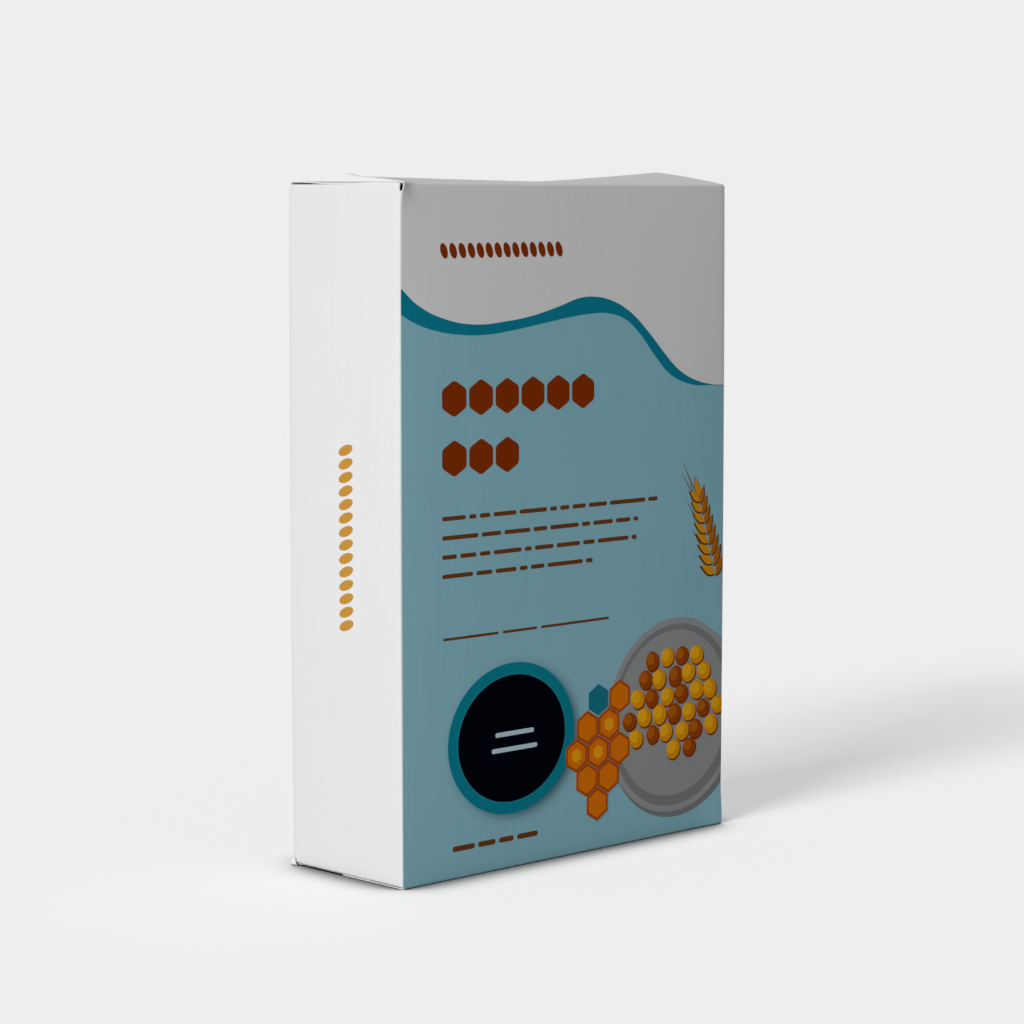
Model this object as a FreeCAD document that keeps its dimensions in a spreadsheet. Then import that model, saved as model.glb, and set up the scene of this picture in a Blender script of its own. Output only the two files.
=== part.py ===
"""A shut cereal carton of folded paperboard, standing on its bottom flaps, in millimetres.

The row frame has its origin under the middle of the pack: +X runs to the right along the wide
front panel, +Y from the front panel to the back one, and +Z up. The pack is one solid: a filled
core with gently crowned panels, and on its two ends the closure that the board is folded into.
At each end the dust flaps of the narrow sides come first, then the inner flap from the back
panel, then the outer flap from the front panel. The bottom lies flat. On top the outer flap has
sprung up at both ends, and it is lowest beside the tongue at its middle.
"""

import FreeCAD, Part

import os
import re

import Sketcher

SIZES = {
    # the folded pack
    "width": 193.0,
    "depth": 69.0,
    "height": 286.0,
    "board": 0.5,
    "corner": 1.0,
    "front_crown": 1.2,
    "side_crown": 0.4,
    # the glued seam on the rear right corner, where the raw edge of the side panel ends
    "seam_width": 1.4,
    # the dust flaps, folded in from the narrow sides
    "dust_reach": 56.0,
    "dust_relief": 1.5,
    # the flaps of the wide panels: how far they run past the middle and over each other
    "flap_relief": 1.2,
    "bottom_lap": 3.5,
    "top_lap": 3.0,
    "glue_lap": 17.0,
    "bottom_fold": 1.1,
    # the top inner flap stands in a hump behind its fold
    "inner_hump": 1.35,
    "hump_reach": 27.0,
    "hump_bow": 0.2,
    # the top outer flap: its taper, and how high it springs above the pack along its free edge;
    # its low place lies low_lift above the two thicknesses of board under its top face
    "outer_taper": 4.0,
    "flap_bow": 0.4,
    "left_crest": 1.2,
    "crest": 0.45,
    "left_rise": 3.5,
    "low_lift": 0.3,
    "right_rise": 5.9,
    "low_place": 10.0,
    "left_share": 0.5,
    "right_share": 0.4,
    # the tongue at the middle of the outer flap, and the slot in the inner flap that takes it
    "tongue_width": 31.0,
    "tongue_reach": 5.5,
    "tongue_place": 5.0,
    "slot_length": 35.0,
    "slot_width": 0.8,
    "tuck": 1.5,
    # the pinched ear at the rear left bottom corner
    "ear_reach": 1.6,
    "ear_run": 3.4,
    "ear_height": 4.4,
    "ear_root": 1.5,
    "ear_edge": 0.6,
    "ear_tip": 0.1,
    # how far a cutting outline runs past what it cuts
    "trim": 1.0,
}

doc = FreeCAD.newDocument("cereal_carton")
sheet = doc.addObject("Spreadsheet::Sheet", "sizes")
for row, (alias, size) in enumerate(SIZES.items(), start=1):
    sheet.set(f"A{row}", alias)
    sheet.set(f"B{row}", str(size))
    sheet.setAlias(f"B{row}", alias)
doc.recompute()


def bound(formula):
    """A formula of size names as the expression that FreeCAD binds to the sheet's cells."""
    return re.sub(r"\b(?!abs\b)[a-z][a-z_]*", lambda name: "sizes." + name.group(), formula)


def value(formula):
    """The number that a formula of size names comes to."""
    return float(sheet.evalExpression(bound(formula)))


def bind(sketch, kind, edge, point, formula):
    """One driving dimension of a sketch, tied to the sheet."""
    place = (edge, point) if point else (edge,)
    datum = sketch.addConstraint(Sketcher.Constraint(kind, *place, value(formula)))
    sketch.setExpression(f"Constraints[{datum}]", bound(formula))


def draw_run(sketch, run):
    """A closed run of edges in a sketch, with every corner and every bow tied to the sheet."""
    count, edges = len(run), []
    for place, (x, y, bow) in enumerate(run):
        x_next, y_next, _ = run[(place + 1) % count]
        start = FreeCAD.Vector(value(x), value(y), 0)
        stop = FreeCAD.Vector(value(x_next), value(y_next), 0)
        if bow:
            outward = FreeCAD.Vector(stop.y - start.y, start.x - stop.x, 0).normalize()
            middle = (start + stop) / 2 + outward * value(bow)
            edge = sketch.addGeometry(Part.Arc(start, middle, stop))
        else:
            edge = sketch.addGeometry(Part.LineSegment(start, stop))
        forward = (sketch.getPoint(edge, 1) - start).Length < (sketch.getPoint(edge, 2) - start).Length
        edges.append((edge, 1, 2) if forward else (edge, 2, 1))
    for place, (x, y, bow) in enumerate(run):
        edge, head, tail = edges[place]
        edge_next, head_next, _ = edges[(place + 1) % count]
        sketch.addConstraint(Sketcher.Constraint("Coincident", edge, tail, edge_next, head_next))
        bind(sketch, "DistanceX", edge, head, x)
        bind(sketch, "DistanceY", edge, head, y)
        if bow:
            x_next, y_next, _ = run[(place + 1) % count]
            chord_squared = f"((({x_next}) - ({x}))^2 + (({y_next}) - ({y}))^2)"
            bind(sketch, "Radius", edge, 0, f"abs({chord_squared}/(8*({bow})) + ({bow})/2)")


def outline(body, name, plane, lift, *runs):
    """A sketch on one of the body's origin planes, moved off it by lift.

    Each run is a closed list of (x, y, bow) formulas in counter-clockwise order. The bow is how
    far the edge to the next corner stands off its chord, outward, and a straight edge has "".
    """
    sketch = body.newObject("Sketcher::SketchObject", name)
    origin = next(part for part in body.Origin.OriginFeatures if part.Role == plane)
    sketch.AttachmentSupport = [(origin, "")]
    sketch.MapMode = "FlatFace"
    sketch.setExpression("AttachmentOffset.Base.z", bound(lift))
    for run in runs:
        draw_run(sketch, run)
    return sketch


def pad(body, name, sketch, length, both_ways=False):
    """Board or filling raised from a sketch, to one side of it or equally to both."""
    feature = body.newObject("PartDesign::Pad", name)
    feature.Profile = sketch
    feature.SideType = "Symmetric" if both_ways else "One side"
    feature.setExpression("Length", bound(length))
    return feature


def pocket(body, name, sketch):
    """A cut through everything on both sides of a sketch."""
    feature = body.newObject("PartDesign::Pocket", name)
    feature.Profile = sketch
    feature.Type = "ThroughAll"
    feature.SideType = "Symmetric"
    return feature


def loft(body, name, sections):
    """A smooth skin through sketches, filled."""
    feature = body.newObject("PartDesign::AdditiveLoft", name)
    feature.Profile = sections[0]
    feature.Sections = sections[1:]
    return feature


def quarter(radius, inward=False):
    """The bow of a quarter round of that radius: how far it stands off the chord's middle."""
    return f"{'-' if inward else ''}{1 - 0.5 ** 0.5:.8f}*({radius})"


def plan_ring(body, name, lift, front_crown="", side_crown=""):
    """The pack in plan at one height: four panels between four rounded creases."""
    crease = quarter("corner")
    return outline(body, name, "XY_Plane", lift, [
        ("corner - width/2", "-depth/2", front_crown),
        ("width/2 - corner", "-depth/2", crease),
        ("width/2", "corner - depth/2", side_crown),
        ("width/2", "depth/2 - corner", crease),
        ("width/2 - corner", "depth/2", front_crown),
        ("corner - width/2", "depth/2", crease),
        ("-width/2", "depth/2 - corner", side_crown),
        ("-width/2", "corner - depth/2", crease),
    ])


def make_pack():
    """The filled pack between its closures, its glued seam, and the dust flaps of its sides."""
    body = doc.addObject("PartDesign::Body", "pack")
    loft(body, "panels", [
        plan_ring(body, "foot_ring", "3*board"),
        plan_ring(body, "waist_ring", "height/2", "front_crown", "side_crown"),
        plan_ring(body, "head_ring", "height - board"),
    ])
    pocket(body, "seam", outline(body, "seam_edge", "XY_Plane", "0", [
        ("width/2 - board", "depth/2 - seam_width", ""),
        ("width/2 + trim", "depth/2 - seam_width", ""),
        ("width/2 + trim", "depth/2 + trim", ""),
        ("width/2 - board", "depth/2 + trim", ""),
    ]))
    dust_width = "depth - 2*dust_relief"
    pad(body, "bottom_dust_flaps", outline(body, "bottom_dust_profile", "XZ_Plane", "0", [
        ("board - width/2", "2*board", ""),
        ("width/2 - board", "2*board", quarter("board")),
        ("width/2", "3*board", ""),
        ("-width/2", "3*board", quarter("board")),
    ]), dust_width, both_ways=True)
    pad(body, "top_dust_flaps", outline(body, "top_dust_profile", "XZ_Plane", "0", [
        ("-width/2", "height - board", ""),
        ("dust_reach - width/2", "height - board", ""),
        ("dust_reach - width/2", "height", ""),
        ("board - width/2", "height", quarter("board")),
    ], [
        ("width/2 - dust_reach", "height - board", ""),
        ("width/2", "height - board", quarter("board")),
        ("width/2 - board", "height", ""),
        ("width/2 - dust_reach", "height", ""),
    ]), dust_width, both_ways=True)
    return body


def make_strip(name, corners):
    """A flap with one section all along the pack, between the reliefs at its two ends."""
    body = doc.addObject("PartDesign::Body", name)
    profile = outline(body, name + "_profile", "YZ_Plane", "0", corners)
    pad(body, name + "_board", profile, "width - 2*flap_relief", both_ways=True)
    return body


def make_bottom_outer_flap():
    """The flap that the pack stands on, from the front panel to just past the middle."""
    return make_strip("bottom_outer_flap", [
        ("-depth/2", "3*board", ""),
        ("-depth/2", "bottom_fold", quarter("bottom_fold")),
        ("bottom_fold - depth/2", "0", ""),
        ("bottom_lap", "0", ""),
        ("bottom_lap", "board", ""),
        ("bottom_fold - depth/2", "board", quarter("bottom_fold - board", inward=True)),
        ("board - depth/2", "bottom_fold", ""),
        ("board - depth/2", "3*board", ""),
    ])


def make_bottom_inner_flap():
    """The flap from the back panel, glued down under the dust flaps and over the outer flap."""
    return make_strip("bottom_inner_flap", [
        ("bottom_lap - glue_lap", "board", ""),
        ("depth/2 - 2*board", "board", quarter("2*board")),
        ("depth/2", "3*board", ""),
        ("depth/2 - board", "3*board", quarter("board", inward=True)),
        ("depth/2 - 2*board", "2*board", ""),
        ("bottom_lap - glue_lap", "2*board", ""),
    ])


def make_top_inner_flap():
    """The flap from the back panel: over its fold in a hump, then flat, with a slot across it."""
    hump_fold = "(inner_hump + board)"
    body = make_strip("top_inner_flap", [
        ("depth/2", "height - board", quarter(hump_fold)),
        (f"depth/2 - {hump_fold}", "height + inner_hump", "hump_bow"),
        ("depth/2 - hump_reach", "height + board", ""),
        ("top_lap - glue_lap", "height + board", ""),
        ("top_lap - glue_lap", "height", ""),
        ("depth/2 - hump_reach", "height", "-hump_bow"),
        (f"depth/2 - {hump_fold}", "height + inner_hump - board", quarter("inner_hump", inward=True)),
        ("depth/2 - board", "height - board", ""),
    ])
    slot_front = "(top_lap + tongue_reach - tuck)"
    pocket(body, "tongue_slot", outline(body, "slot_edge", "XY_Plane", "height", [
        ("tongue_place - slot_length/2", slot_front, ""),
        ("tongue_place + slot_length/2", slot_front, ""),
        ("tongue_place + slot_length/2", f"{slot_front} + slot_width", ""),
        ("tongue_place - slot_length/2", f"{slot_front} + slot_width", ""),
    ]))
    return body


def flap_station(body, name, place, crest, rise):
    """The sprung outer flap cut across at one place: round its fold, then up to its free edge.

    The board runs on past the free edge, because the die-cut blank trims it afterwards.
    """
    fold = f"({crest} + board)"
    end = "(top_lap + tongue_reach + trim)"
    end_rise = f"({crest} + ({rise} - {crest})*(depth/2 + {end})/(depth/2 + top_lap))"
    return outline(body, name, "YZ_Plane", place, [
        ("-depth/2", "height - board", ""),
        ("board - depth/2", "height - board", quarter(crest, inward=True)),
        (f"{fold} - depth/2", f"height + {crest} - board", "-flap_bow"),
        (end, f"height + {end_rise} - board", ""),
        (end, f"height + {end_rise}", "flap_bow"),
        (f"{fold} - depth/2", f"height + {crest}", quarter(fold)),
    ])


def make_top_outer_flap():
    """The flap from the front panel: a sprung sheet of board, cut to its blank with a tongue."""
    low_rise = "(2*board + low_lift)"
    sprung = doc.addObject("PartDesign::Body", "sprung_board")
    loft(sprung, "sprung_sheet", [
        flap_station(sprung, "left_end", "-width/2", "left_crest", "left_rise"),
        flap_station(sprung, "left_middle", "(low_place - width/2)/2", "crest",
                     f"({low_rise} + left_share*(left_rise - {low_rise}))"),
        flap_station(sprung, "low_middle", "low_place", "crest", low_rise),
        flap_station(sprung, "right_middle", "(low_place + width/2)/2", "crest",
                     f"({low_rise} + right_share*(right_rise - {low_rise}))"),
        flap_station(sprung, "right_end", "width/2", "crest", "right_rise"),
    ])
    blank = doc.addObject("PartDesign::Body", "die_cut_blank")
    fold_end, free_end = "(width/2 - flap_relief)", "(width/2 - flap_relief - outer_taper)"
    pad(blank, "blank_height", outline(blank, "blank_edge", "XY_Plane", "height - 2*board", [
        (f"-{fold_end}", "-depth/2 - trim", ""),
        (fold_end, "-depth/2 - trim", ""),
        (fold_end, "trim - depth/2", ""),
        (free_end, "top_lap", ""),
        ("tongue_place + tongue_width/2", "top_lap", "tongue_reach"),
        ("tongue_place - tongue_width/2", "top_lap", ""),
        (f"-{free_end}", "top_lap", ""),
        (f"-{fold_end}", "trim - depth/2", ""),
    ]), "2*(left_rise + right_rise)")
    flap = doc.addObject("Part::MultiCommon", "top_outer_flap")
    flap.Shapes = [sprung, blank]
    return flap


def make_corner_ear():
    """The pinch of board that stands out at the rear left bottom corner."""
    body = doc.addObject("PartDesign::Body", "corner_ear")
    root = "(ear_root - width/2)"
    loft(body, "ear_pinch", [
        outline(body, "ear_foot", "XY_Plane", "0", [
            ("-width/2 - ear_reach", "depth/2 - ear_edge", ""),
            ("-width/2 - ear_reach/2", "depth/2 - ear_run", ""),
            (root, "depth/2 - ear_run", ""),
            (root, "depth/2 - ear_root", ""),
        ]),
        outline(body, "ear_head", "XY_Plane", "ear_height", [
            ("-width/2 - ear_tip", "depth/2 - ear_root", ""),
            ("-width/2 - ear_tip", "depth/2 - ear_root - ear_edge", ""),
            (root, "depth/2 - ear_root - ear_edge", ""),
            (root, "depth/2 - ear_root", ""),
        ]),
    ])
    return body


carton = doc.addObject("Part::MultiFuse", "carton")
carton.Shapes = [
    make_pack(),
    make_bottom_inner_flap(),
    make_bottom_outer_flap(),
    make_top_inner_flap(),
    make_top_outer_flap(),
    make_corner_ear(),
]
carton.Label = "carton"
doc.recompute()

for made in doc.Objects:
    if "Invalid" in made.State or "Error" in made.State:
        raise RuntimeError(f"{made.Label} failed: {made.State}")
if carton.Shape.isNull() or not carton.Shape.isValid() or len(carton.Shape.Solids) != 1:
    raise RuntimeError("the carton isn't one valid solid")

os.makedirs("parts", exist_ok=True)
carton.Shape.exportStep(f"parts/{carton.Label}.step")
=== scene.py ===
"""The looks of a shut cereal carton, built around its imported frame, in metres."""

import math

import bmesh
import bpy
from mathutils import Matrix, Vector


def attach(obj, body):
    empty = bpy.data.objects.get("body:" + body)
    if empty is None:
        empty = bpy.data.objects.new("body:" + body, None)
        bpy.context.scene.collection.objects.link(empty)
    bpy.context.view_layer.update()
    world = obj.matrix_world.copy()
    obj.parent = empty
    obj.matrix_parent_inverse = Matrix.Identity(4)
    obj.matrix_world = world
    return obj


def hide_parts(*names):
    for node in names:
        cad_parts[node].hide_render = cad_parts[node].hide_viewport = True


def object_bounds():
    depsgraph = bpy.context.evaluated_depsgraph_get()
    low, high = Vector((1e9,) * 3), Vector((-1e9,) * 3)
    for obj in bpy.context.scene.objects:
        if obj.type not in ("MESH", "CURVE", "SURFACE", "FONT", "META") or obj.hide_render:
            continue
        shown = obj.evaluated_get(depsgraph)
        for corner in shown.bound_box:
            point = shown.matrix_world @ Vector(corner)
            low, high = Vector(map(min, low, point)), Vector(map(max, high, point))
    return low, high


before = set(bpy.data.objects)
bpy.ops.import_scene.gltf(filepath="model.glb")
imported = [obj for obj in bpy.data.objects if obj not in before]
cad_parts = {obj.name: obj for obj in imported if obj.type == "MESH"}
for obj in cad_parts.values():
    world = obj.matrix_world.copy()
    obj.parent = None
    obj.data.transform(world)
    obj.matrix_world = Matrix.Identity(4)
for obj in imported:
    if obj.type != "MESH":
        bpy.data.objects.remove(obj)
size_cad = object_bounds()
cad_high = size_cad[1]
bpy.ops.object.select_all(action="DESELECT")


# --- Folded board --------------------------------------------------------------------------------
# One die-cut sheet of half-millimetre white board, folded round the cereal into a tube and closed
# at both ends by its own flaps: dust flaps first, then the back panel's flap, then the front's.
# The raw edge of one narrow panel is glued over the rear right corner.

FRONT_CROWN = 0.0012
SIDE_CROWN = 0.0004
FLAP_SPRING = 0.00584
half_width = cad_high.x - SIDE_CROWN
half_depth = cad_high.y - FRONT_CROWN
height = cad_high.z - FLAP_SPRING

BOARD = 0.0005
GAP = 0.00004
CREASE = 0.0009
CREASE_PARTS = 4
FOLD_ROUND = 0.0009
EDGE_BOW = 0.0007
WIDE_CUTS, NARROW_CUTS, UPRIGHT_CUTS = 63, 23, 63
DUST_REACH = 0.056
DUST_RELIEF = 0.0015
FOOT_LIFT = 0.0006
FOLD_LIFT = 0.0008
BOTTOM_LAP = 0.0035
TOP_LAP = 0.003
INNER_LAP = 0.017
GLUE_FLAP = 0.014
RUN_UP = 0.005
SMOOTH_ANGLE = math.radians(40)
EDGE_ANGLE = math.radians(50)
foot = FOLD_ROUND
head = height - BOARD
# What lies this close to a place counts as at it.
CLOSE = CREASE / 9


def new_piece(name):
    """Names the object that an operator has just made, and returns it."""
    piece = bpy.context.object
    piece.name = name
    piece.data.name = name
    return piece


def pick(piece):
    """Selects one piece alone and makes it the active one."""
    bpy.ops.object.select_all(action="DESELECT")
    piece.select_set(True)
    bpy.context.view_layer.objects.active = piece


def select_in_edit(piece, kind, test):
    """In edit mode, selects the vertices, edges or faces that pass the test, and no others."""
    mesh = bmesh.from_edit_mesh(piece.data)
    bpy.ops.mesh.select_all(action="DESELECT")
    mesh.select_mode = {kind}
    bpy.context.tool_settings.mesh_select_mode = (kind == "VERT", kind == "EDGE", kind == "FACE")
    parts = {"VERT": mesh.verts, "EDGE": mesh.edges, "FACE": mesh.faces}[kind]
    for part in parts:
        if test(part):
            part.select_set(True)
    mesh.select_flush_mode()
    bmesh.update_edit_mesh(piece.data)


def runs_along(edge, axis):
    """Whether an edge is parallel to that axis of the frame."""
    way = edge.verts[1].co - edge.verts[0].co
    return abs(way[axis]) > 0.999 * way.length


def middle(edge):
    """The point halfway along an edge."""
    return (edge.verts[0].co + edge.verts[1].co) / 2


def apply_modifier(piece, kind, **settings):
    """Adds a modifier with these settings to a piece and applies it."""
    modifier = piece.modifiers.new(kind.title(), kind)
    for name, setting in settings.items():
        setattr(modifier, name, setting)
    bpy.context.view_layer.objects.active = piece
    bpy.ops.object.modifier_apply(modifier=modifier.name)


def extrude_edges(step):
    """Extrudes the selected edges by one step, and leaves the new ones selected."""
    bpy.ops.mesh.extrude_edges_move(TRANSFORM_OT_translate={"value": step})


def fold_over(onward, inward, radius, parts=5):
    """Carries the selected edges round a quarter fold: onward off their panel, then inward."""
    past = Vector((0, 0, 0))
    for part in range(1, parts + 1):
        angle = math.radians(90) * part / parts
        place = inward * radius * (1 - math.cos(angle)) + onward * radius * math.sin(angle)
        extrude_edges(place - past)
        past = place


def run_in(inward, length, parts):
    """Carries the selected edges straight inward, in equal parts."""
    for part in range(parts):
        extrude_edges(inward * length / parts)


def rim(z, inward):
    """The test for the edge, at that end of the tube, of the panel whose flap folds inward."""
    axis = 1 if inward.x else 0
    far = half_width if inward.x else half_depth
    return lambda edge: (edge.is_boundary and abs(middle(edge).z - z) < CLOSE
                         and runs_along(edge, axis) and -middle(edge).dot(inward) > far - CLOSE)


TO_BACK, TO_FRONT = Vector((0, 1, 0)), Vector((0, -1, 0))
TO_RIGHT, TO_LEFT = Vector((1, 0, 0)), Vector((-1, 0, 0))
UP, DOWN = Vector((0, 0, 1)), Vector((0, 0, -1))

bpy.ops.mesh.primitive_cube_add(size=1, location=(0, 0, (foot + head) / 2))
board = new_piece("folded_board")
board.scale = (2 * half_width, 2 * half_depth, head - foot)
bpy.ops.object.transform_apply(location=True, rotation=True, scale=True)
bpy.ops.object.mode_set(mode="EDIT")
select_in_edit(board, "FACE", lambda face: abs(face.normal.z) > 0.5)
bpy.ops.mesh.delete(type="ONLY_FACE")
select_in_edit(board, "EDGE", lambda edge: runs_along(edge, 2))
bpy.ops.mesh.bevel(offset=CREASE, segments=CREASE_PARTS, affect="EDGES")
select_in_edit(board, "EDGE", lambda edge: runs_along(edge, 0) and edge.calc_length() > half_width)
bpy.ops.mesh.subdivide(number_cuts=WIDE_CUTS)
select_in_edit(board, "EDGE", lambda edge: runs_along(edge, 1) and edge.calc_length() > half_depth)
bpy.ops.mesh.subdivide(number_cuts=NARROW_CUTS)
select_in_edit(board, "EDGE", lambda edge: runs_along(edge, 2))
bpy.ops.mesh.subdivide(number_cuts=UPRIGHT_CUTS)

# The near left corner has torn open a little way down from the top.
TEAR = 0.0022
for down in (TEAR / 2, TEAR, 2 * TEAR):
    bpy.ops.mesh.select_all(action="SELECT")
    bpy.ops.mesh.bisect(plane_co=(0, 0, head - down), plane_no=(0, 0, 1))
bpy.ops.mesh.select_all(action="SELECT")
bpy.ops.mesh.bisect(plane_co=(-half_width + 2 * CREASE, 0, 0), plane_no=(1, 0, 0))
select_in_edit(board, "FACE", lambda face: face.calc_center_median().z > head - TEAR
               and face.calc_center_median().x < -half_width + CREASE * 0.9
               and -half_depth < face.calc_center_median().y < -half_depth + CREASE)
bpy.ops.mesh.delete(type="ONLY_FACE")

# The seam: the rear panel's glue flap turns in behind the right panel, whose edge stays raw.
select_in_edit(board, "FACE", lambda face: face.calc_center_median().x > half_width - CREASE
               and face.calc_center_median().y > half_depth - CREASE)
bpy.ops.mesh.delete(type="ONLY_FACE")
select_in_edit(board, "VERT", lambda vertex: not vertex.link_faces)
bpy.ops.mesh.delete(type="VERT")
select_in_edit(board, "EDGE", lambda edge: edge.is_boundary and runs_along(edge, 2)
               and middle(edge).y < half_depth - CREASE / 2 and middle(edge).x > 0)
extrude_edges(TO_BACK * (CREASE - BOARD / 2))
select_in_edit(board, "EDGE", lambda edge: edge.is_boundary and runs_along(edge, 2)
               and middle(edge).y > half_depth - CLOSE and middle(edge).x > 0)
fold_over(TO_RIGHT, TO_FRONT, CREASE - BOARD, parts=4)
run_in(TO_FRONT, GLUE_FLAP, 2)
bpy.ops.object.mode_set(mode="OBJECT")

# The cereal inside presses the panels into low crowns, and the board is nowhere quite flat.
for vertex in board.data.vertices:
    point = vertex.co
    up = (point.z - foot) / (head - foot)
    press = 1 - (2 * up - 1) ** 4
    across = max(0.0, 1 - (point.x / (half_width - CREASE)) ** 4)
    along = max(0.0, 1 - (point.y / (half_depth - CREASE)) ** 4)
    if abs(point.y) > half_depth - CLOSE:
        point.y += math.copysign(FRONT_CROWN * across * press, point.y)
    if abs(point.x) > half_width - CLOSE:
        point.x += math.copysign(SIDE_CROWN * along * press, point.x)
    point.x += EDGE_BOW * 4 * up * (1 - up) * point.x / half_width
bpy.ops.object.mode_set(mode="EDIT")

# The dust flaps come first, at both ends. The narrow panels end a little above the floor.
for inward in (TO_RIGHT, TO_LEFT):
    for z, onward in ((foot, DOWN), (head, UP)):
        select_in_edit(board, "EDGE", rim(z, inward))
        if onward is DOWN:
            bpy.ops.transform.translate(value=(0, 0, FOOT_LIFT))
        fold_over(onward, inward, BOARD, parts=4)
        bpy.ops.transform.resize(value=(1, (half_depth - DUST_RELIEF) / (half_depth - CREASE), 1))
        extrude_edges(inward * DUST_REACH / 9 - onward * 2 * BOARD)
        run_in(inward, DUST_REACH * 8 / 9, 6)
bpy.ops.object.mode_set(mode="OBJECT")

# The top left dust flap's fold has sprung up, most of all near the front.
LIFT_SPREAD = 0.6
LIFT_FADE = 0.010
for vertex in board.data.vertices:
    point = vertex.co
    if (point.x < 0 and point.z > head - 2 * BOARD and abs(point.y) < half_depth - CREASE / 2
            and (point.z > head or point.x > -half_width + CREASE)):
        near = max(0.0, 1 - (point.y / half_depth / LIFT_SPREAD + 1) ** 2)
        fold = min(1.0, max(0.0, point.z - head) / BOARD)
        inside = math.exp(-(point.x + half_width - BOARD) / LIFT_FADE)
        point.z += FOLD_LIFT * near * (fold if point.x < -half_width + BOARD else inside)
bpy.ops.object.mode_set(mode="EDIT")

# The bottom's inner flap, from the back panel, and its outer flap, from the front panel.
select_in_edit(board, "EDGE", rim(foot, TO_FRONT))
fold_over(DOWN, TO_FRONT, FOLD_ROUND)
extrude_edges(TO_FRONT * RUN_UP + UP * BOARD)
run_in(TO_FRONT, half_depth + INNER_LAP - BOTTOM_LAP - FOLD_ROUND - RUN_UP, 4)
select_in_edit(board, "EDGE", rim(foot, TO_BACK))
fold_over(DOWN, TO_BACK, FOLD_ROUND)
run_in(TO_BACK, half_depth + BOTTOM_LAP - FOLD_ROUND, 4)

# The top's inner flap folds over in a hump.
HUMP = 0.00135
HUMP_REACH = 0.027
HUMP_PARTS = 6
select_in_edit(board, "EDGE", rim(head, TO_FRONT))
fold_over(UP, TO_FRONT, HUMP + BOARD)
hump_run = HUMP_REACH - HUMP - BOARD
for part in range(1, HUMP_PARTS + 1):
    before, after = (math.cos(math.pi * end / HUMP_PARTS) for end in (part - 1, part))
    fall = (HUMP - BOARD) * (after - before) / 2
    extrude_edges(TO_FRONT * hump_run / HUMP_PARTS + UP * fall)
run_in(TO_FRONT, half_depth + INNER_LAP - TOP_LAP - HUMP_REACH, 4)

# The top's outer flap springs up from a low crest at its fold, and carries the tongue.
CREST = 0.00045
LEFT_CREST = 0.0012
CREST_RUN = 0.012
LEFT_RISE = 0.0035
LOW_RISE = 0.0013
RIGHT_RISE = 0.0059
LOW_PLACE = 0.010
RISE_POWER = 1.25
FLAP_BOW = 0.0004
FLAP_TAPER = 0.004
TONGUE_PLACE = 0.005
TONGUE_WIDTH = 0.031
TONGUE_REACH = 0.0055
TONGUE_BLUNT = 0.02


def crest_rise(x):
    """How high the front flap's fold stands over the pack, x along the pack."""
    return CREST + (LEFT_CREST - CREST) * math.exp(-(x + half_width) / CREST_RUN)


def free_edge_rise(x):
    """How high the front flap's free edge stands over the pack, x along the pack."""
    if x < LOW_PLACE:
        return LOW_RISE + (LEFT_RISE - LOW_RISE) * (LOW_PLACE - x) / (LOW_PLACE + half_width)
    right = (x - LOW_PLACE) / (half_width - LOW_PLACE)
    return LOW_RISE + (RIGHT_RISE - LOW_RISE) * right ** RISE_POWER


bpy.ops.object.mode_set(mode="OBJECT")
flap_start = len(board.data.vertices)
bpy.ops.object.mode_set(mode="EDIT")
select_in_edit(board, "EDGE", rim(head, TO_BACK))
fold_over(UP, TO_BACK, CREST + BOARD)
run_in(TO_BACK, half_depth + TOP_LAP - CREST - BOARD, 9)
select_in_edit(board, "EDGE", lambda edge: edge.is_boundary and runs_along(edge, 0)
               and abs(middle(edge).y - TOP_LAP) < CLOSE and middle(edge).z > height
               and abs(middle(edge).x - TONGUE_PLACE) < TONGUE_WIDTH / 2)
run_in(TO_BACK, TONGUE_REACH, 4)
bpy.ops.object.mode_set(mode="OBJECT")
crest_end = CREST + BOARD - half_depth
for vertex in board.data.vertices[flap_start:]:
    point = vertex.co
    if point.y > TOP_LAP:
        away = (point.x - TONGUE_PLACE) / (TONGUE_WIDTH / 2)
        point.y = TOP_LAP + (point.y - TOP_LAP) * math.sqrt(max(TONGUE_BLUNT, 1 - away ** 2))
    crest = crest_rise(point.x)
    if point.y > crest_end:
        out = (point.y - crest_end) / (TOP_LAP - crest_end)
        rise = crest + (free_edge_rise(point.x) - crest) * out + FLAP_BOW * 4 * out * (1 - out)
        point.z = height + rise
        point.x *= 1 - FLAP_TAPER * min(out, 1) / half_width
    else:
        point.z += (crest - CREST) * (point.z - head) / (CREST + BOARD)

# The wear of use: each place on the board, how far it has moved, and how far about it that reaches.
# The near corner curls on both panels where it is torn, the board bulges at the right foot, and the
# outer flap's tip and the dust flap's corner stand up.
GRIP = 0.0024
WEAR = (
    (Vector((-half_width + CREASE, -half_depth, head)), (0, -0.0011, 0), 0.0034),
    (Vector((-half_width, -half_depth + CREASE, head)), (0, -0.0005, 0), 0.008),
    (Vector((half_width, -half_depth, foot)), (0.0006, -0.0005, 0), 0.018),
    (Vector((-half_width + FLAP_TAPER, TOP_LAP, height + LEFT_RISE)), (0, 0, 0.0009), 0.007),
    (Vector((-half_width + 0.009, -half_depth + 0.0165, head)), (0, 0, 0.0008), 0.016),
)
bpy.ops.object.mode_set(mode="EDIT")
for place, shift, reach in WEAR:
    select_in_edit(board, "VERT", lambda vertex: (vertex.co - place).length < min(GRIP, reach / 4))
    bpy.ops.transform.translate(value=shift, use_proportional_edit=True,
                                proportional_edit_falloff="SMOOTH", proportional_size=reach,
                                use_proportional_connected=True)
bpy.ops.object.mode_set(mode="OBJECT")


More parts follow.
